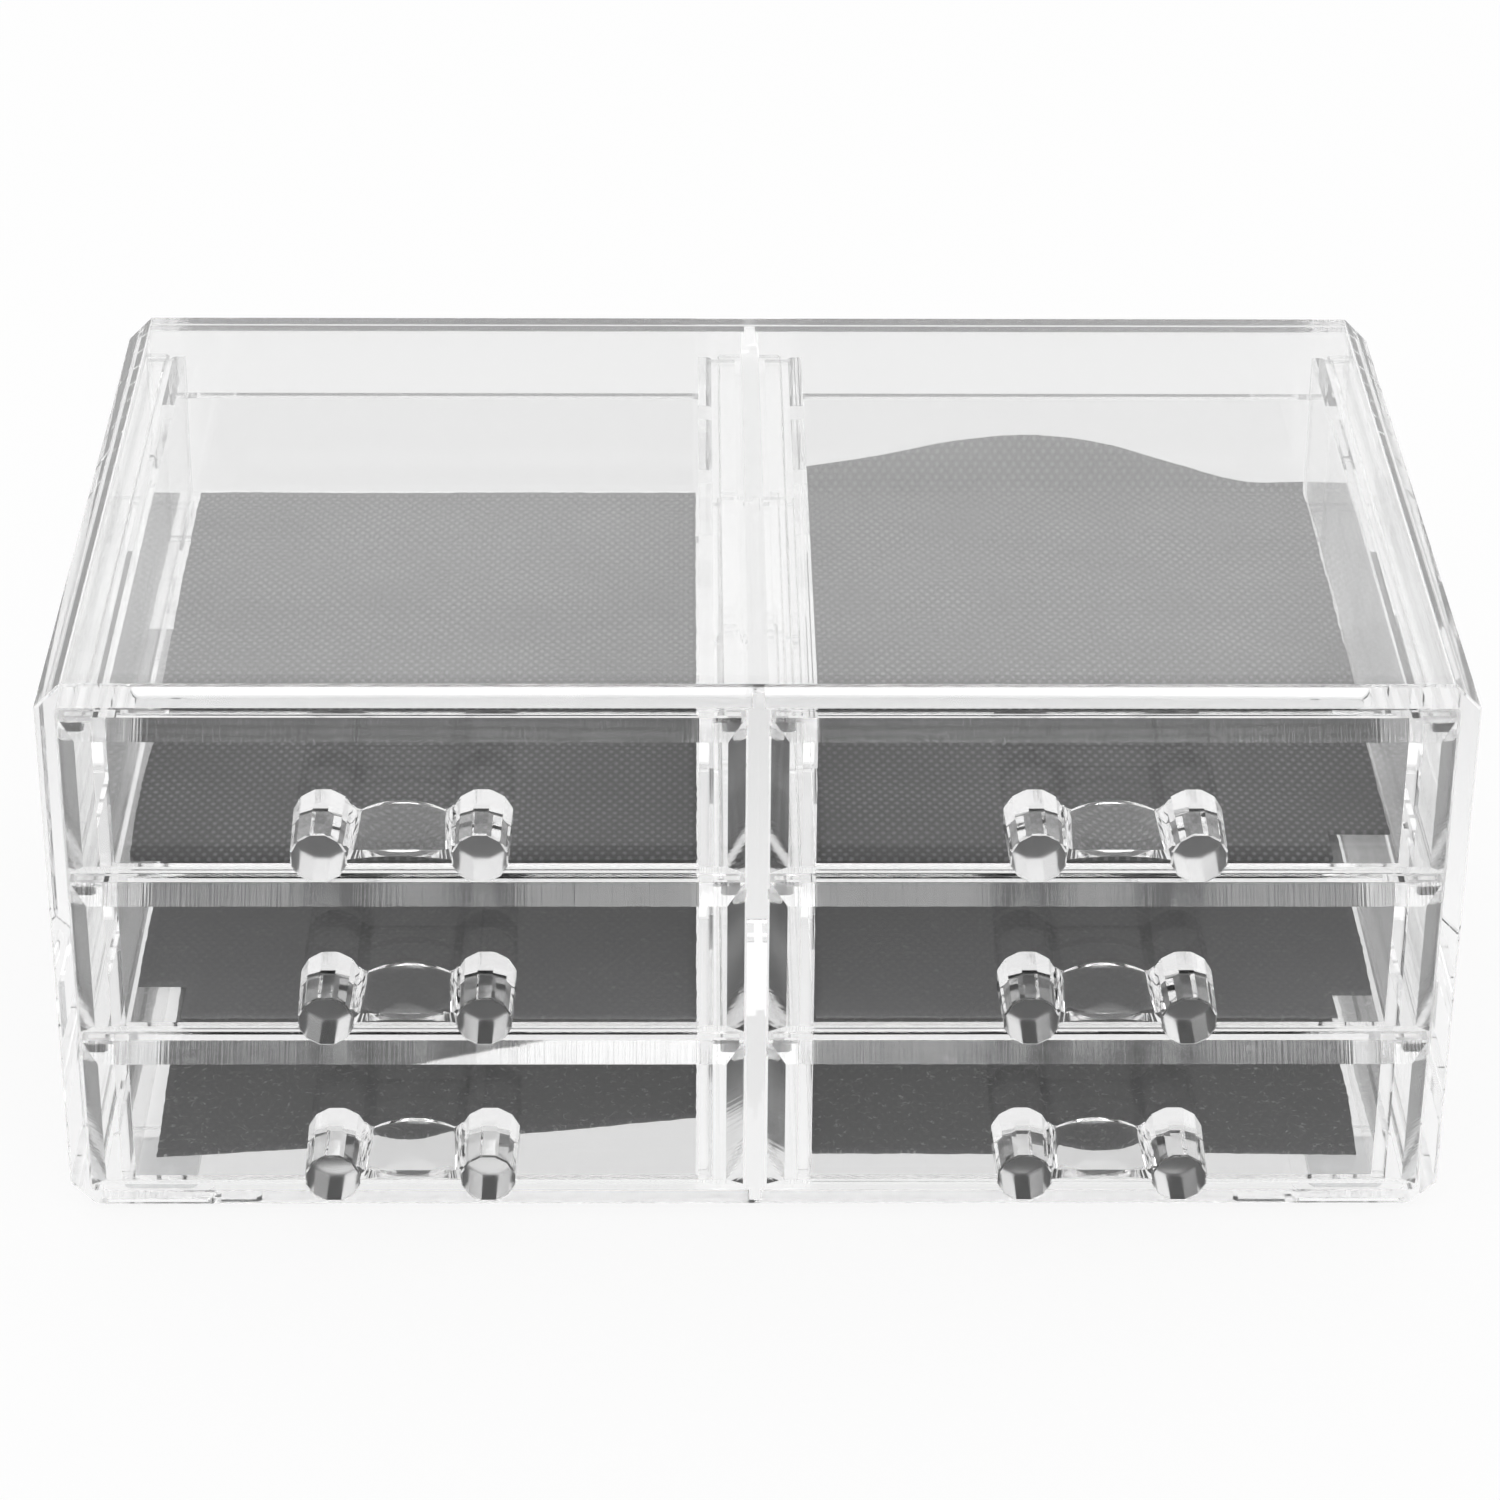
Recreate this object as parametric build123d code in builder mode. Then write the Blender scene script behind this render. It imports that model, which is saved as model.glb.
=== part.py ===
"""Clear tabletop organizer: a bevelled sleeve, a centre divider and six hanging drawers with liners."""

import os
from math import cos, radians, sin, tan

from build123d import *

os.makedirs("parts", exist_ok=True)

# Sleeve: one clear box section, open at the front, with its four long edges bevelled
case_width = 240.0
case_depth = 150.0
case_height = 104.0
case_bevel = 4.5
top_wall = 4.4
bottom_wall = 3.2
side_wall = 3.4
bay_corner_radius = 1.2
edge_break = 0.4

# Rear panel, divider and the cement line between glued pieces
rear_wall = 3.0
divider_thickness = 3.4
tongue_thickness = 1.8
top_tongue = 2.8
bottom_tongue = 2.0
cement_line = 0.1

# Foot pads, each in a shallow recess of the flat underside
foot_length = 13.0
foot_width = 14.5
foot_height = 1.2
foot_corner_cut = 1.0
foot_side_inset = 4.0
foot_end_inset = 5.0
recess_depth = 0.6
recess_margin = 3.3

# Drawer fronts: bevelled on all four edges, the bevel standing proud of the sleeve
drawer_rows = ("bottom", "middle", "top")
front_bevel = 3.0
front_edge = 2.8
front_side_gap = 0.4
front_sill_gap = 1.3
front_row_gap = 1.8
front_head_gap = 1.8

# Trays: open boxes behind the fronts, with flanges that hang on the runners
tray_side_inset = 5.3
tray_wall = 2.5
tray_floor = 1.6
tray_rear_gap = 6.0
tray_corner_radius = 1.0
flange_drop = 1.0
flange_thickness = 1.9
flange_wall_gap = 1.2
tray_back_drop = 8.6

# Runners: strips on the sleeve's sides and on the divider
runner_height = 2.0
runner_tray_gap = 1.3
runner_running_gap = 0.2
runner_stop_gap = 0.2
runner_edge_break = 0.4

# Handles: two tapered twelve-sided posts and a saddle web
post_sides = 12
post_spacing = 26.5
post_width = 10.05
post_length = 14.3
post_draft = 1.6
post_edge_break = 0.25
post_axis_height = 13.05
web_height = 1.5
web_mid_thickness = 1.25
web_end_thickness = 2.05
web_rear_rise = 1.75
web_front_rise = 0.05
web_rear_gap = 0.5
web_front_gap = 0.3
web_fillet = 1.6
web_fillet_angle = 60.0
web_root = 1.2

# Liners: loose fabric mats on the tray floors
liner_thickness = 1.0
liner_side_gap = 0.5
liner_end_gap = 0.8
liner_lift = 0.2
liner_corner_radius = 2.0

# Heights of the sleeve and of the drawer grid
case_bottom = foot_height + cement_line
case_top = case_bottom + case_height
bay_floor = case_bottom + bottom_wall
bay_ceiling = case_top - top_wall
bay_height = bay_ceiling - bay_floor
grid_height = bay_height - front_sill_gap - front_head_gap
front_height = (grid_height - (len(drawer_rows) - 1) * front_row_gap) / len(drawer_rows)
row_pitch = front_height + front_row_gap
row_sills = [bay_floor + front_sill_gap + row * row_pitch for row in range(len(drawer_rows))]

# Widths: the divider parts the sleeve into two equal bays
inner_width = case_width - 2 * side_wall
bay_width = (inner_width - divider_thickness) / 2
bay_offset = (bay_width + divider_thickness) / 2
front_width = bay_width - 2 * front_side_gap
tray_width = front_width - 2 * tray_side_inset
tray_inner_width = tray_width - 2 * tray_wall

# Depths: the origin is under the middle of the whole object, handles included
overall_depth = case_depth + front_bevel + cement_line + post_length
case_back = overall_depth / 2
case_mouth = case_back - case_depth
rear_panel_face = case_back - rear_wall
front_back = case_mouth + front_edge
front_face = case_mouth - front_bevel
tray_back = rear_panel_face - tray_rear_gap
tray_length = tray_back - front_back
tray_inner_length = tray_length - tray_wall

# Heights within one drawer, from its front's lower edge
flange_top = front_height - flange_drop
flange_base = flange_top - flange_thickness
flange_reach = tray_side_inset + front_side_gap - flange_wall_gap
tray_back_height = front_height - tray_back_drop
runner_top = flange_base - runner_running_gap
runner_width = tray_side_inset + front_side_gap - runner_tray_gap

# Foot pads and the recesses that locate them, in plan
pad_x = case_width / 2 - case_bevel - foot_side_inset - foot_length / 2
pad_front = case_mouth + foot_end_inset + foot_width / 2
pad_back = case_back - foot_end_inset - foot_width / 2
pad_places = [(-pad_x, pad_front), (pad_x, pad_front), (-pad_x, pad_back), (pad_x, pad_back)]

# The sleeve's mouth, looking into the bays: X to the right and Z up
mouth_plane = Plane(origin=(0, case_mouth, 0), x_dir=(1, 0, 0), z_dir=(0, -1, 0))


def save(part, name):
    """Label a finished piece and write it."""
    part.label = name
    export_step(part, f"parts/{name}.step")


# Sleeve with the grooves that take the divider's tongues and the recesses for the pads
with BuildPart() as case_shell:
    with BuildSketch(mouth_plane) as sleeve_outline:
        with Locations((0, case_bottom + case_height / 2)):
            Rectangle(case_width, case_height)
        chamfer(sleeve_outline.vertices(), case_bevel)
    extrude(amount=-case_depth)
    sleeve_ends = case_shell.faces().filter_by(Axis.Y)
    chamfer(sleeve_ends.edges(), edge_break)
    with BuildSketch(mouth_plane) as bay_outline:
        with Locations((0, bay_floor + bay_height / 2)):
            Rectangle(inner_width, bay_height)
        fillet(bay_outline.vertices(), bay_corner_radius)
    extrude(amount=-case_depth, mode=Mode.SUBTRACT)
    with BuildSketch(mouth_plane) as tongue_grooves:
        groove_width = tongue_thickness + 2 * cement_line
        with Locations((0, bay_ceiling)):
            Rectangle(groove_width, top_tongue + cement_line, align=(Align.CENTER, Align.MIN))
        with Locations((0, bay_floor)):
            Rectangle(groove_width, bottom_tongue + cement_line, align=(Align.CENTER, Align.MAX))
    extrude(amount=-(case_depth - rear_wall), mode=Mode.SUBTRACT)
    with BuildSketch(Plane.XY.offset(case_bottom)) as recess_outlines:
        with Locations(*pad_places):
            Rectangle(foot_length + 2 * recess_margin, foot_width + 2 * recess_margin)
        chamfer(recess_outlines.vertices(), foot_corner_cut)
    extrude(amount=recess_depth, mode=Mode.SUBTRACT)
save(case_shell.part, "case_shell")

# Plate that closes the back of the sleeve
with BuildPart() as rear_panel:
    with BuildSketch(mouth_plane.offset(-(case_depth - rear_wall))) as panel_outline:
        with Locations((0, bay_floor + bay_height / 2)):
            Rectangle(inner_width - 2 * cement_line, bay_height - 2 * cement_line)
        fillet(panel_outline.vertices(), bay_corner_radius)
    extrude(amount=-rear_wall)
    panel_back = rear_panel.faces().sort_by(Axis.Y)[-1]
    chamfer(panel_back.edges(), edge_break)
save(rear_panel.part, "rear_panel")

# Upright plate between the bays, with a tongue along its top and bottom edges
with BuildPart() as centre_divider:
    with BuildSketch(mouth_plane):
        with Locations((0, bay_floor + cement_line)):
            Rectangle(divider_thickness, bay_height - 2 * cement_line, align=(Align.CENTER, Align.MIN))
        with Locations((0, bay_floor - bottom_tongue)):
            tongue_span = bottom_tongue + bay_height + top_tongue
            Rectangle(tongue_thickness, tongue_span, align=(Align.CENTER, Align.MIN))
    extrude(amount=-(case_depth - rear_wall - cement_line))
save(centre_divider.part, "centre_divider")

# Four pads that stand out of the recesses under the corners
with BuildPart() as foot_pads:
    with BuildSketch(Plane.XY) as pad_outlines:
        with Locations(*pad_places):
            Rectangle(foot_length, foot_width)
        chamfer(pad_outlines.vertices(), foot_corner_cut)
    extrude(amount=foot_height + recess_depth)
save(foot_pads.part, "foot_pads")


def make_runner(wall_x, inward, sill):
    """A strip cemented to an upright face at wall_x; inward is +1 or -1, into the bay."""
    with BuildPart() as runner:
        with BuildSketch(mouth_plane.offset(-(front_edge + runner_stop_gap))) as strip_outline:
            with Locations((wall_x + inward * (cement_line + runner_width) / 2, sill + runner_top)):
                Rectangle(runner_width - cement_line, runner_height, align=(Align.CENTER, Align.MAX))
            free_corners = strip_outline.vertices().sort_by(Axis.X)
            free_corners = free_corners[-2:] if inward > 0 else free_corners[:2]
            chamfer(free_corners, runner_edge_break)
        extrude(amount=-(rear_panel_face - cement_line - front_back - runner_stop_gap))
    return runner.part


def make_drawer(bay_x, sill):
    """One moulding: bevelled front, tray with a low back wall, and a flange along each side."""
    with BuildPart() as drawer:
        with BuildSketch(Plane((bay_x, front_back, sill), (1, 0, 0), (0, -1, 0))):
            Rectangle(front_width, front_height, align=(Align.CENTER, Align.MIN))
        extrude(amount=front_edge + front_bevel)
        face_edges = drawer.faces().sort_by(Axis.Y)[0].edges()
        chamfer(face_edges, front_bevel)
        with BuildSketch(Plane((bay_x, front_back, sill))) as tray_outline:
            Rectangle(tray_width, tray_length, align=(Align.CENTER, Align.MIN))
            fillet(tray_outline.vertices().group_by(Axis.Y)[-1], tray_corner_radius)
        extrude(amount=flange_top)
        with BuildSketch(Plane((bay_x, front_back, sill + flange_base))):
            flange_span = tray_width + 2 * flange_reach
            Rectangle(flange_span, tray_length - tray_corner_radius, align=(Align.CENTER, Align.MIN))
        extrude(amount=flange_thickness)
        with BuildSketch(Plane((bay_x, front_back, sill + tray_floor))) as tray_hollow:
            Rectangle(tray_inner_width, tray_inner_length, align=(Align.CENTER, Align.MIN))
            fillet(tray_hollow.vertices().group_by(Axis.Y)[-1], tray_corner_radius)
        extrude(amount=front_height, mode=Mode.SUBTRACT)
        with BuildSketch(Plane((bay_x, tray_back, sill + tray_back_height))):
            Rectangle(tray_inner_width, 2 * tray_wall, align=(Align.CENTER, Align.MAX))
        extrude(amount=front_height, mode=Mode.SUBTRACT)
    return drawer.part


def make_web_rib(plane, post_half, rise):
    """A section of the saddle web: arched above and below, and flared where it runs into the posts."""
    flare = radians(web_fillet_angle)
    post_side = post_spacing / 2 - post_half
    flat = post_side - web_fillet * sin(flare)
    flare_x = flat + web_fillet * sin(flare / 2)
    flare_z = web_height + web_fillet * (1 - cos(flare / 2))
    flare_top = web_height + web_fillet * (1 - cos(flare))
    root = post_side + web_root
    base = web_height - web_end_thickness
    crown = web_height + rise
    with BuildSketch(plane) as rib:
        with BuildLine():
            ThreePointArc((-flat, web_height), (0, crown), (flat, web_height))
            ThreePointArc((-root, base), (0, crown - web_mid_thickness), (root, base))
            for side in (-1, 1):
                ThreePointArc((side * flat, web_height), (side * flare_x, flare_z), (side * post_side, flare_top))
                Line((side * post_side, flare_top), (side * root, flare_top))
                Line((side * root, flare_top), (side * root, base))
        make_face()
    return rib.sketch


def make_handle(bay_x, sill):
    """Two faceted posts standing out of the drawer front, and the saddle web between them."""
    seat_plane = Plane((bay_x, front_face - cement_line, sill + post_axis_height), (1, 0, 0), (0, -1, 0))
    web_end = post_length - web_front_gap
    tip_half = post_width / 2 - web_end * tan(radians(post_draft))
    rear_rib = make_web_rib(seat_plane.offset(web_rear_gap), post_width / 2, web_rear_rise)
    front_rib = make_web_rib(seat_plane.offset(web_end), tip_half, web_front_rise)
    with BuildPart() as handle:
        with BuildSketch(seat_plane):
            with Locations((-post_spacing / 2, 0), (post_spacing / 2, 0)):
                RegularPolygon(post_width / 2, post_sides, major_radius=False, rotation=180 / post_sides)
        extrude(amount=post_length, taper=post_draft)
        post_ends = handle.faces().group_by(Axis.Y)[0]
        chamfer(post_ends.edges(), post_edge_break)
        loft(sections=[rear_rib, front_rib], ruled=True)
    return handle.part


def make_liner(bay_x, sill):
    """A plain mat that covers the tray floor."""
    mat_width = tray_inner_width - 2 * liner_side_gap
    mat_length = tray_inner_length - 2 * liner_end_gap
    with BuildPart() as liner:
        with BuildSketch(Plane((bay_x, front_back + tray_inner_length / 2, sill + tray_floor + liner_lift))):
            RectangleRounded(mat_width, mat_length, liner_corner_radius)
        extrude(amount=liner_thickness)
    return liner.part


# Twelve runners, then the six drawers with their handles and liners
runner_faces = {
    "left_wall": (-inner_width / 2, 1),
    "divider_left": (-divider_thickness / 2, -1),
    "divider_right": (divider_thickness / 2, 1),
    "right_wall": (inner_width / 2, -1),
}
for row_name, sill in zip(drawer_rows, row_sills):
    for face_name, (wall_x, inward) in runner_faces.items():
        save(make_runner(wall_x, inward, sill), f"runner_{face_name}_{row_name}")
    for side_name, bay_x in (("left", -bay_offset), ("right", bay_offset)):
        save(make_drawer(bay_x, sill), f"drawer_{row_name}_{side_name}")
        save(make_handle(bay_x, sill), f"handle_{row_name}_{side_name}")
        save(make_liner(bay_x, sill), f"liner_{row_name}_{side_name}")
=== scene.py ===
import math

import bmesh
import bpy
from mathutils import Matrix, Vector, noise


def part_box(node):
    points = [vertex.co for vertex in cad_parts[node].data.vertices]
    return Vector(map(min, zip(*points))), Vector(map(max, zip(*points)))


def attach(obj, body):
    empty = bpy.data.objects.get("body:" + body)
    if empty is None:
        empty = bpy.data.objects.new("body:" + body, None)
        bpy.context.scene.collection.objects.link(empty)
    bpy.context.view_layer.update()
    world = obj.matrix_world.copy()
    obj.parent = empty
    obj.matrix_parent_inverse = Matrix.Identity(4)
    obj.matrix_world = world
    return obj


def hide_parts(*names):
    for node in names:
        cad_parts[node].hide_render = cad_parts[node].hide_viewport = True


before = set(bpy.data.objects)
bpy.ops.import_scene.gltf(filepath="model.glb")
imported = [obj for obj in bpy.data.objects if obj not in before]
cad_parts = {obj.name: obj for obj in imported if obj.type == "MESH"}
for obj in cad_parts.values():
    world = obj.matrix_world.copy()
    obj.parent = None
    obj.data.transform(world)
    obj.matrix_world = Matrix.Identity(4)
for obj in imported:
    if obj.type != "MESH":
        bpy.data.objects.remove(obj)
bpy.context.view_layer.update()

# Case sleeve: top, bottom and both sides of the case in one piece of clear acrylic, its four
# long edges bevelled and flame-polished. It keeps faint cast waves and a few fine rub marks,
# and a thin pale haze lies on its top plate: partly dust and wear, partly a painted veil
# that stands in for reflected light.
mm = 0.001
acrylic_clear = (0.985, 0.985, 0.985, 1.0)
acrylic_index = 1.49
cast_scale, cast_height = 24.0, 1.0 * mm
rub_scale, rub_start, rub_full = 210.0, 0.6, 0.8
case_wave, case_rub, case_clarity = 0.001, 0.04, 0.989
haze_scale, haze_least, haze_more = 30.0, 0.09, 0.1
dust_and_veil_white = (0.95, 0.95, 0.95, 1.0)
top_skin = 0.1 * mm


class Wire:
    """A shader socket. Arithmetic on it adds Math nodes, and node() adds any other node."""

    def __init__(self, tree, socket=None):
        self.tree = tree
        self.socket = socket

    def node(self, kind, settings=None, sockets=None, out=0):
        made = self.tree.nodes.new(kind)
        for name, value in (settings or {}).items():
            setattr(made, name, value)
        for name, value in (sockets or {}).items():
            if isinstance(value, Wire):
                self.tree.links.new(value.socket, made.inputs[name])
            else:
                made.inputs[name].default_value = value
        return Wire(self.tree, made.outputs[out] if made.outputs else None)

    def maths(self, operation, first, second=0.0):
        return self.node("ShaderNodeMath", {"operation": operation}, {0: first, 1: second})

    def __add__(self, other):
        return self.maths("ADD", self, other)

    def __radd__(self, other):
        return self.maths("ADD", other, self)

    def __sub__(self, other):
        return self.maths("SUBTRACT", self, other)

    def __rsub__(self, other):
        return self.maths("SUBTRACT", other, self)

    def __mul__(self, other):
        return self.maths("MULTIPLY", self, other)

    def __rmul__(self, other):
        return self.maths("MULTIPLY", other, self)

    def __truediv__(self, other):
        return self.maths("DIVIDE", self, other)

    def __rtruediv__(self, other):
        return self.maths("DIVIDE", other, self)

    def __lt__(self, other):
        return self.maths("LESS_THAN", self, other)

    def __gt__(self, other):
        return self.maths("GREATER_THAN", self, other)

    def __abs__(self):
        return self.maths("ABSOLUTE", self)


def new_material(name):
    material = bpy.data.materials.new(name)
    material.use_nodes = True
    material.node_tree.nodes.clear()
    return material, Wire(material.node_tree)


def axis_of(wire, vector, axis):
    return wire.node("ShaderNodeSeparateXYZ", sockets={0: vector}, out=axis)


def speckle(wire, place, scale, detail, **more):
    return wire.node("ShaderNodeTexNoise", sockets={
        "Vector": place, "Scale": scale, "Detail": detail, **more})


def fade(wire, value, start, end, low, high, curve="LINEAR"):
    """Goes from low to high while value goes from start to end."""
    return wire.node("ShaderNodeMapRange", {"interpolation_type": curve},
                     {0: value, 1: start, 2: end, 3: low, 4: high})


def polished(wire, place, wave, rub, clarity, extra=0.0, relief=None):
    """Polished acrylic: slow cast waves in the surface, and rub marks that dull it here and
    there. clarity is the share of light that goes through unscattered, extra is more
    roughness, and relief the height and depth of a second Bump."""
    cast = speckle(wire, place, cast_scale, 1.0)
    rubbed = speckle(wire, place, rub_scale, 5.0)
    marks = fade(wire, rubbed, rub_start, rub_full, 0.0, rub)
    skin = wire.node("ShaderNodeBump", sockets={
        "Strength": wave, "Distance": cast_height, "Height": cast})
    if relief:
        height, depth = relief
        skin = wire.node("ShaderNodeBump", sockets={
            "Strength": 1.0, "Distance": depth, "Height": height, "Normal": skin})
    return wire.node("ShaderNodeBsdfPrincipled", sockets={
        "Base Color": acrylic_clear, "Roughness": marks + extra, "IOR": acrylic_index,
        "Transmission Weight": clarity, "Normal": skin})


def finish_node(name, material):
    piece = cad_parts[name]
    piece.data.materials.clear()
    piece.data.materials.append(material)


case_acrylic, wire = new_material("case_acrylic")
place = wire.node("ShaderNodeTexCoord", out="Object")
on_top = axis_of(wire, place, "Z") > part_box("case_shell")[1].z - top_skin
cloud = speckle(wire, place, haze_scale, 6.0)
# Light that runs along inside the plate doesn't reach the haze: there Fresnel is 1.
kept_inside = wire.node("ShaderNodeFresnel", sockets={"IOR": acrylic_index})
# The haze is partly dust and wear and partly a painted veil: a white layer that stands in for
# the light reflection lays on the top.
dust_and_veil_amount = on_top * (haze_least + haze_more * cloud) * (1.0 - kept_inside)
clean = polished(wire, place, case_wave, case_rub, case_clarity)
dust_and_painted_veil = wire.node("ShaderNodeBsdfDiffuse", sockets={"Color": dust_and_veil_white})
dusted_and_veiled = wire.node("ShaderNodeMixShader", sockets={0: dust_and_veil_amount, 1: clean, 2: dust_and_painted_veil})
wire.node("ShaderNodeOutputMaterial", sockets={"Surface": dusted_and_veiled})
finish_node("case_shell", case_acrylic)

# Rear panel, centre divider and the twelve runners: plates and strips of the same clear
# acrylic, cemented into the sleeve with a film of solvent cement.
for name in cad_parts:
    if name in ("rear_panel", "centre_divider") or name.startswith("runner_"):
        finish_node(name, case_acrylic)

# Foot pads: four low pads of soft clear vinyl, pressed into shallow recesses under the case.
# They are die-cut from sheet, so they look cloudy next to the acrylic.
vinyl_pale = (0.9, 0.905, 0.91, 1.0)
vinyl_index, vinyl_clarity = 1.52, 0.85
vinyl_gloss, vinyl_matt = 0.3, 0.5
pebble_scale, pebble_height, pebble_strength = 1400.0, 0.2 * mm, 0.25
foot_vinyl, wire = new_material("foot_vinyl")
place = wire.node("ShaderNodeTexCoord", out="Object")
clouds = speckle(wire, place, 180.0, 4.0)
dull = fade(wire, clouds, 0.3, 0.7, vinyl_gloss, vinyl_matt)
pebble = wire.node("ShaderNodeTexVoronoi", sockets={"Vector": place, "Scale": pebble_scale})
skin = wire.node("ShaderNodeBump", sockets={
    "Strength": pebble_strength, "Distance": pebble_height, "Height": pebble})
vinyl = wire.node("ShaderNodeBsdfPrincipled", sockets={
    "Base Color": vinyl_pale, "Roughness": dull, "IOR": vinyl_index,
    "Transmission Weight": vinyl_clarity, "Normal": skin})
wire.node("ShaderNodeOutputMaterial", sockets={"Surface": vinyl})
finish_node("foot_pads", foot_vinyl)

# Drawers: six trays moulded in clear acrylic with a thick front, a thin floor and walls, and a
# flange down each side that hangs on the runners. The bevels round the front are milled, and
# the handle's posts are cemented on, so that no film of air shows under them.
post_low, post_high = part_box("handle_bottom_left")
post_half = (post_high.z - post_low.z) / 2
post_axis = (post_high.z + post_low.z) / 2
outer_post = -post_low.x - post_half
inner_post = -post_high.x + post_half
row_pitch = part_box("handle_middle_left")[0].z - post_low.z
drawer_wave, drawer_rub, drawer_clarity = 0.002, 0.04, 0.995
bevel_lean, lean_spread = 0.707, 0.1
cutter_scale, cutter_depth = 2600.0, 0.06 * mm
cemented_share = 0.97
front_skin, front_lean = 1.0 * mm, 0.98
drawer_acrylic, wire = new_material("drawer_acrylic")
place = wire.node("ShaderNodeTexCoord", out="Object")
x, y, z = (axis_of(wire, place, axis) for axis in "XYZ")
facing = wire.node("ShaderNodeNewGeometry", out="True Normal")
face_x, face_y, face_z = (abs(axis_of(wire, facing, axis)) for axis in "XYZ")
milled = wire.node("ShaderNodeMath", {"operation": "COMPARE"},
                   {0: face_y, 1: bevel_lean, 2: lean_spread})
cutter = wire.node("ShaderNodeTexNoise", {"noise_dimensions": "1D"}, {
    "W": x * face_z + z * face_x, "Scale": cutter_scale, "Detail": 3.0})
off_post = wire.maths("MINIMUM", abs(abs(x) - outer_post), abs(abs(x) - inner_post))
off_row = row_pitch * (wire.maths("FRACT", (z - post_axis) / row_pitch + 0.5) - 0.5)
under_post = off_post * off_post + off_row * off_row < (cemented_share * post_half) ** 2
cemented = under_post * (y < post_high.y + front_skin) * (face_y > front_lean)
moulded = polished(wire, place, drawer_wave, drawer_rub, drawer_clarity,
                   relief=(milled * cutter, cutter_depth))
cement = wire.node("ShaderNodeBsdfTransparent")
joined = wire.node("ShaderNodeMixShader", sockets={0: cemented, 1: moulded, 2: cement})
wire.node("ShaderNodeOutputMaterial", sockets={"Surface": joined})
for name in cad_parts:
    if name.startswith("drawer_"):
        finish_node(name, drawer_acrylic)

# Handles: two faceted posts with a thin saddle web between them, moulded in one and cemented
# to the drawer front. The sawn and rubbed post ends stay a little matt; the rest is polished.
handle_wave, handle_rub, handle_clarity = 0.001, 0.03, 0.99
end_skin, cement_skin = 0.15 * mm, 0.05 * mm
end_matt, pit_matt = 0.2, 0.05
grit_scale, grit_depth = 4500.0, 0.0015 * mm
handle_acrylic, wire = new_material("handle_acrylic")
place = wire.node("ShaderNodeTexCoord", out="Object")
y = axis_of(wire, place, "Y")
post_end = y < post_low.y + end_skin
cemented = y > post_high.y - cement_skin
grit = speckle(wire, place, grit_scale, 2.0)
pits = fade(wire, grit, 0.5, 0.65, 0.0, pit_matt)
post = polished(wire, place, handle_wave, handle_rub, handle_clarity,
                extra=post_end * (end_matt + pits), relief=(grit * post_end, grit_depth))
cement = wire.node("ShaderNodeBsdfTransparent")
joined = wire.node("ShaderNodeMixShader", sockets={0: cemented, 1: post, 2: cement})
wire.node("ShaderNodeOutputMaterial", sockets={"Surface": joined})
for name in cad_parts:
    if name.startswith("handle_"):
        finish_node(name, handle_acrylic)

# Liners: six loose mats of charcoal non-woven fabric, spot-bonded in staggered dots, cut by
# hand and laid on the drawer floors. No two lie alike: edges wander, three have a front
# corner cut out, one is turned up at the back.
dot_pitch, dot_row = 1.87 * mm, 1.4 * mm
dot_oval, dot_core, dot_rim = 1.7, 0.16, 0.34
fibre_grey, patch_grey = 0.05, 0.03
cloth_thickness = 0.5 * mm


def felt(name, grey_with_painted_light, dot, fleck):
    """Charcoal fabric; dot is how strongly the bond dots show, fleck how pale its fibres are."""
    material, wire = new_material(name)
    place = wire.node("ShaderNodeTexCoord", out="UV")
    across = axis_of(wire, place, "X") / dot_pitch
    along = axis_of(wire, place, "Y") / (2 * dot_row)
    away = []
    for stagger in (0.0, 0.5):
        u = wire.maths("FRACT", across + stagger) - 0.5
        v = (wire.maths("FRACT", along + stagger) - 0.5) * (2 * dot_row / dot_pitch)
        away.append(wire.maths("SQRT", dot_oval * u * u + v * v))
    bond = fade(wire, wire.maths("MINIMUM", *away), dot_core, dot_rim, 1.0, 0.0, "SMOOTHSTEP")
    fibre = speckle(wire, place, 1900.0, 6.0, Roughness=0.7, Distortion=1.6)
    patch = speckle(wire, place, 60.0, 3.0)
    curl = speckle(wire, place, 420.0, 1.0, Distortion=1.5)
    strand = fade(wire, abs(curl - 0.5), 0.0, 0.03, 1.0, 0.0)
    tuft = speckle(wire, place, 700.0, 1.0)
    pale = strand * fade(wire, tuft, 0.5, 0.62, 0.0, fleck)
    # The first term is the cloth's base grey with painted light in it, lighter for the lower
    # mats.
    grey = grey_with_painted_light + fibre_grey * fibre + patch_grey * patch + bond * (dot * patch) + pale
    shade = wire.node("ShaderNodeCombineColor", sockets={0: grey, 1: grey, 2: 1.02 * grey})
    raised = wire.node("ShaderNodeBump", sockets={
        "Strength": 0.4, "Distance": 0.15 * mm, "Height": bond * (2 * dot) + 0.5 * fibre})
    cloth = wire.node("ShaderNodeBsdfPrincipled", sockets={
        "Base Color": shade, "Roughness": 0.9, "Specular IOR Level": 0.25,
        "Sheen Weight": 0.15, "Sheen Roughness": 0.6, "Normal": raised})
    wire.node("ShaderNodeOutputMaterial", sockets={"Surface": cloth})
    return material


# One charcoal cloth in all six mats. The middle and bottom mats get a lighter base grey as
# painted light, standing in for light that reaches the lower drawers.
felts = {"top": felt("felt_dotted", 0.066, 0.24, 0.0),
         "middle": felt("felt_plain", 0.19, 0.05, 0.1),
         "bottom": felt("felt_flecked", 0.115, 0.05, 0.5)}

# The mats' own sizes, in mm like their edges: cloth_rise is the middle of the cloth's
# thickness over the tray floor, and the CAD mat lies mat_gap over that floor.
columns, rows, lip_rows = 60, 84, 8
mat_gap, cloth_rise = 0.2, 0.3
fray_reach, fray_pace = 0.22, 0.9
wave_rise, wave_run, wave_skew = 0.2, 4.3, 0.02
swell_rise, swell_wide, swell_long = 0.3, 34.0, 17.0
lip_bend, lip_calm = 1.4, 12.0


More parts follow.
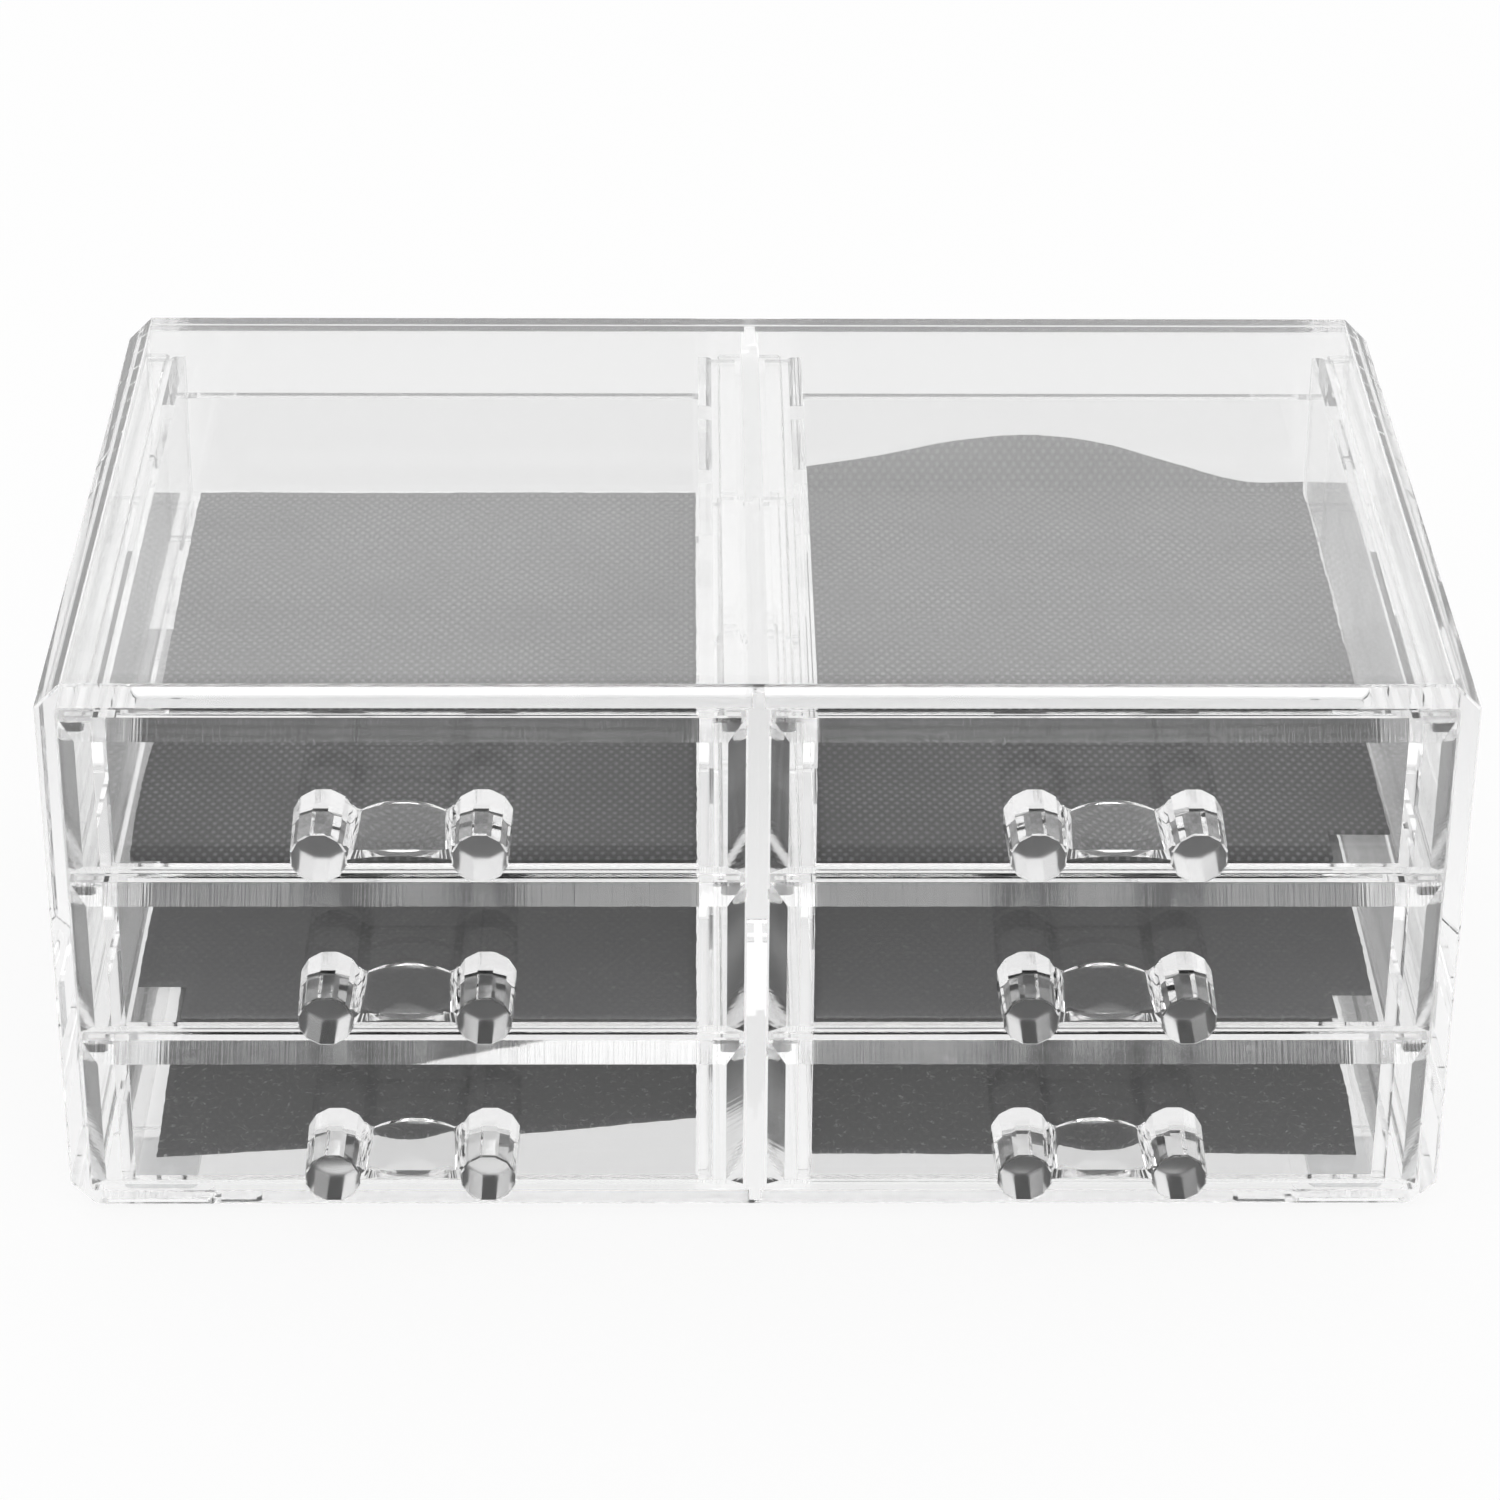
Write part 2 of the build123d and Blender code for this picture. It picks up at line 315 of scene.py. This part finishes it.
def along_edge(points, place):
    """The height of a smooth line through (place, height) points."""
    ends = [points[0]] + points + [points[-1]]
    for (p, before), (a, low), (b, high), (q, after) in zip(ends, ends[1:], ends[2:], ends[3:]):
        if place <= b or (b, high) == points[-1]:
            t = min(1.0, max(0.0, (place - a) / (b - a)))
            rise_in = (high - before) / (b - p) * (b - a)
            rise_out = (after - low) / (q - a) * (b - a)
            return ((1 + 2 * t) * (1 - t) ** 2 * low + t * (1 - t) ** 2 * rise_in
                    + t * t * (3 - 2 * t) * high + t * t * (t - 1) * rise_out)


def mean_height(points):
    return sum(height for place, height in points) / len(points)


def fray(across, along):
    return fray_reach * noise.noise(Vector((across, along, 0.0)))


def ripple(x, y, seed):
    """How far the cloth lies off its flat rest at a place."""
    wave = wave_rise + wave_rise * math.sin(y / wave_run + wave_skew * x + seed)
    swell = noise.noise(Vector((x / swell_wide, y / swell_long, seed)))
    return wave + swell_rise * max(0.0, swell)


def turned_up(tall, share):
    """A place on the lip: how far it is from the foot along the cloth, to the back and up."""
    quarter = lip_bend * math.pi / 2
    run = (quarter + max(0.0, tall - lip_bend)) * share
    turn = min(run / lip_bend, math.pi / 2)
    back = lip_bend * math.sin(turn)
    up = lip_bend * (1 - math.cos(turn)) + max(0.0, run - quarter)
    return run, back, up


def lay_liner(row, side, left, right, front, rear, lip=None, notch=None):
    """One mat. left and right are (y, x) edges, front and rear (x, y) edges, lip the height
    that the rear edge is turned up as (x, height), notch the front corner cut out as (x, y)."""
    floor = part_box("liner_%s_%s" % (row, side))[0].z / mm - mat_gap
    seed = 7.3 * len(row) + 3.1 * len(side)
    across = [i / columns for i in range(columns + 1)]
    forth = [j / rows for j in range(rows + 1)]
    mean_left, mean_right = mean_height(left), mean_height(right)
    mean_front, mean_rear = mean_height(front), mean_height(rear)
    if notch:
        cut_s = (notch[0] - mean_left) / (mean_right - mean_left)
        cut_t = (notch[1] - mean_front) / (mean_rear - mean_front)
        cut_on_left = notch[0] < (mean_left + mean_right) / 2
        across[min(range(columns + 1), key=lambda i: abs(across[i] - cut_s))] = cut_s
        forth[min(range(rows + 1), key=lambda j: abs(forth[j] - cut_t))] = cut_t
    mesh = bmesh.new()
    flat = {}
    grid = []
    for j, t in enumerate(forth):
        line = []
        for i, s in enumerate(across):
            y = mean_front + t * (mean_rear - mean_front)
            x0, x1 = along_edge(left, y), along_edge(right, y)
            x = x0 + s * (x1 - x0) + (fray(seed, fray_pace * y) if i in (0, columns) else 0.0)
            y0, y1 = along_edge(front, x), along_edge(rear, x)
            y = y0 + t * (y1 - y0) + (fray(fray_pace * x, seed) if j in (0, rows) else 0.0)
            calm = min(1.0, (y1 - y) / lip_calm) if lip else 1.0
            z = floor + cloth_rise + calm * ripple(x, y, seed)
            line.append(mesh.verts.new(Vector((x, y, z)) * mm))
            flat[line[-1]] = Vector((x, y)) * mm
        grid.append(line)
    if lip:
        for k in range(1, lip_rows + 1):
            line = []
            for foot in grid[rows]:
                run, back, up = turned_up(along_edge(lip, foot.co.x / mm), k / lip_rows)
                line.append(mesh.verts.new(foot.co + Vector((0.0, back, up)) * mm))
                flat[line[-1]] = flat[foot] + Vector((0.0, run)) * mm
            grid.append(line)
    for j in range(len(grid) - 1):
        for i in range(columns):
            if notch and j < rows:
                middle_s = (across[i] + across[i + 1]) / 2
                middle_t = (forth[j] + forth[j + 1]) / 2
                beside = middle_s < cut_s if cut_on_left else middle_s > cut_s
                if beside and middle_t < cut_t:
                    continue
            mesh.faces.new((grid[j][i], grid[j][i + 1], grid[j + 1][i + 1], grid[j + 1][i]))
    for loose in [v for v in mesh.verts if not v.link_faces]:
        mesh.verts.remove(loose)
    cut = mesh.loops.layers.uv.new("cut")
    for face in mesh.faces:
        face.smooth = True
        for corner in face.loops:
            corner[cut].uv = flat[corner.vert]
    cut_area = sum(face.calc_area() for face in mesh.faces)
    data = bpy.data.meshes.new("mat_%s_%s" % (row, side))
    mesh.to_mesh(data)
    mesh.free()
    data.materials.append(felts[row])
    mat = bpy.data.objects.new(data.name, data)
    bpy.context.scene.collection.objects.link(mat)
    body = mat.modifiers.new("thickness", "SOLIDIFY")
    body.thickness = cloth_thickness
    body.offset = 0.0
    tall = max(y for x, y in rear) - min(y for x, y in front)
    tall += max(h for x, h in lip) if lip else 0.0
    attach(mat, "%s_%s_drawer" % (row, side))
    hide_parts("liner_%s_%s" % (row, side))


lay_liner("top", "left",
          left=[(-63, -105.9), (-50, -106.3), (-39, -106.5), (-30, -106.3), (-22, -105.9),
                (20, -106.2), (72, -106.4)],
          right=[(-63, -10.3), (72, -10.4)],
          front=[(-108, -63.0), (-10, -63.0)], rear=[(-108, 70.2), (-10, 70.0)])
lay_liner("top", "right",
          left=[(-63, 10.2), (72, 10.15)], right=[(-63, 108.1), (72, 108.1)],
          front=[(10, -63.0), (109, -63.0)], rear=[(10, 70.2), (109, 70.2)],
          lip=[(10.1, 5.1), (25, 7.6), (40, 10.8), (54, 12.0), (68, 10.4), (82, 6.2),
               (96, 2.2), (109, 2.0)],
          notch=(97.4, -54.8))
lay_liner("middle", "left",
          left=[(-63, -107.4), (72, -107.8)], right=[(-63, -10.3), (72, -10.3)],
          front=[(-109, -63.0), (-10, -63.0)], rear=[(-109, 71.2), (-10, 71.2)],
          notch=(-99.1, -52.3))
lay_liner("middle", "right",
          left=[(-63, 10.3), (72, 10.3)],
          right=[(-63, 107.4), (-50, 107.3), (-20, 107.6), (72, 107.9)],
          front=[(10, -63.0), (109, -63.0)], rear=[(10, 71.2), (109, 71.2)],
          notch=(100.5, -55.1))
lay_liner("bottom", "left",
          left=[(-63, -105.1), (-20, -106.0), (72, -107.0)], right=[(-63, -10.3), (72, -10.3)],
          front=[(-108, -58.6), (-105, -58.4), (-41.7, -51.0), (-9.6, -46.5)],
          rear=[(-108, 71.2), (-10, 71.2)])
lay_liner("bottom", "right",
          left=[(-63, 10.15), (72, 10.15)],
          right=[(-63, 106.2), (-50, 106.8), (-36, 107.2), (72, 107.7)],
          front=[(10, -57.8), (80, -57.4), (108, -57.6)], rear=[(10, 71.2), (108, 71.2)])

# Table: a plain white sweep that the organizer stands on. It shows white to the eye and in
# the clear acrylic, with a grey stretch far ahead, painted shadow of the camera stand, and a
# faint one behind, painted shadow of the organizer; these two show only in the acrylic. It
# still takes the soft shadow.
table_half = 3.0
paper_white = (0.92, 0.92, 0.92, 1)
white_direct, white_in_acrylic = 0.9, 0.96
painted_shadow_behind, painted_stand_shadow, grey_beneath = 0.16, 0.9, 0.06
behind_start, behind_end = (0.09, 0.2), (0.45, 0.6)
ahead_start, ahead_end = (-0.5, -0.56), (-0.9, -1.1)
beneath_start = (-0.06, -0.09)
table_mesh = bpy.data.meshes.new("table")
table_mesh.from_pydata([(-table_half, -table_half, 0), (table_half, -table_half, 0),
                        (table_half, table_half, 0), (-table_half, table_half, 0)],
                       [], [(0, 1, 2, 3)])
table = bpy.data.objects.new("table", table_mesh)
bpy.context.scene.collection.objects.link(table)
table_paint, wire = new_material("table_paint")
paper = wire.node("ShaderNodeBsdfDiffuse", sockets={"Color": paper_white})
direct = wire.node("ShaderNodeLightPath", out="Is Camera Ray")
indirect = wire.maths("MAXIMUM", wire.node("ShaderNodeLightPath", out="Is Glossy Ray"),
                      wire.node("ShaderNodeLightPath", out="Is Transmission Ray"))
depth = axis_of(wire, wire.node("ShaderNodeTexCoord", out="Object"), "Y")
behind = wire.maths("MINIMUM", fade(wire, depth, *behind_start, 0.0, 1.0),
                    fade(wire, depth, *behind_end, 1.0, 0.0))
ahead = wire.maths("MINIMUM", fade(wire, depth, *ahead_start, 0.0, 1.0),
                   fade(wire, depth, *ahead_end, 1.0, 0.0))
beneath = fade(wire, depth, *beneath_start, 0.0, 1.0)
# Painted shadows, seen only in the acrylic: the camera stand's far ahead and the organizer's
# behind.
tone = 1.0 - indirect * (painted_shadow_behind * behind + painted_stand_shadow * ahead + grey_beneath * beneath)
shown = wire.node("ShaderNodeCombineColor", sockets={0: tone, 1: tone, 2: tone})
glow = wire.node("ShaderNodeEmission", sockets={"Color": shown, "Strength": 1.0})
seen = wire.maths("MAXIMUM", white_direct * direct, white_in_acrylic * indirect)
surface = wire.node("ShaderNodeMixShader", sockets={0: seen, 1: paper, 2: glow})
wire.node("ShaderNodeOutputMaterial", sockets={"Surface": surface})
table_mesh.materials.append(table_paint)

# Light: a white studio with one dark patch where the camera stands, a long low softbox behind
# the organizer, which lies as a pale veil on its top, and a flat one high in front, which the
# bevels of the lower drawer fronts mirror.
clear_bounces = 48
studio_white, patch_depth = 0.95, 0.85
patch_rise, patch_rim, patch_core = (math.radians(angle) for angle in (28, 11, 6))
scene = bpy.context.scene
scene.view_settings.view_transform = "Standard"
scene.cycles.max_bounces = clear_bounces
scene.cycles.transmission_bounces = clear_bounces
scene.cycles.glossy_bounces = clear_bounces
studio = bpy.data.worlds.new("studio")
scene.world = studio
studio.use_nodes = True
studio.node_tree.nodes.clear()
wire = Wire(studio.node_tree)
toward = wire.node("ShaderNodeTexCoord", out="Generated")
patch_way = (0.0, -math.cos(patch_rise), math.sin(patch_rise))
nearness = wire.node("ShaderNodeVectorMath", {"operation": "DOT_PRODUCT"},
                     {0: toward, 1: patch_way}, out="Value")
patch = fade(wire, nearness, math.cos(patch_rim), math.cos(patch_core), 0.0, 1.0)
white = studio_white - patch_depth * patch
wall = wire.node("ShaderNodeCombineColor", sockets={0: white, 1: white, 2: white})
sky = wire.node("ShaderNodeBackground", sockets={"Color": wall, "Strength": 1.0})
wire.node("ShaderNodeOutputWorld", sockets={"Surface": sky})


def softbox(name, shape, place, aim, wide, tall, radiance):
    lamp = bpy.data.lights.new(name, "AREA")
    lamp.shape = shape
    lamp.size = wide
    lamp.size_y = tall
    area = wide * tall * (math.pi / 4 if shape == "ELLIPSE" else 1.0)
    lamp.energy = radiance * math.pi * area
    holder = bpy.data.objects.new(name, lamp)
    turn = (Vector(aim) - Vector(place)).to_track_quat("-Z", "Y")
    holder.matrix_world = Matrix.Translation(place) @ turn.to_matrix().to_4x4()
    holder.visible_camera = False
    scene.collection.objects.link(holder)


softbox("backdrop_glow", "RECTANGLE", place=(0.0, 1.7, 0.925), aim=(0.0, 0.0, 0.925),
        wide=2.4, tall=0.25, radiance=0.3)
softbox("front_softbox", "ELLIPSE", place=(0.057, -0.7616, 1.2019), aim=(0.057, -0.0678, 0.0976),
        wide=0.7, tall=0.14, radiance=5.0)

# Camera: in front and above, as in the photograph, placed from the case.
lens_length, sensor_width, nearest = 109.86, 36.0, 0.01
stand_aside, stand_ahead, stand_above = 0.01134, 0.7404, 0.46248
yaw, pitch, roll = (math.radians(angle) for angle in (0.853, 29.124, 0.438))
case_low, case_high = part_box("case_shell")
eye = bpy.data.cameras.new("camera")
eye.sensor_width = sensor_width
eye.lens = lens_length
eye.clip_start = nearest
viewer = bpy.data.objects.new("camera", eye)
scene.collection.objects.link(viewer)
stand = Vector(((case_low.x + case_high.x) / 2 - stand_aside,
                (case_low.y + case_high.y) / 2 - stand_ahead,
                case_low.z + stand_above))
turn = (Matrix.Rotation(-yaw, 4, "Z") @ Matrix.Rotation(math.pi / 2 - pitch, 4, "X")
        @ Matrix.Rotation(roll, 4, "Z"))
viewer.matrix_world = Matrix.Translation(stand) @ turn
scene.camera = viewer
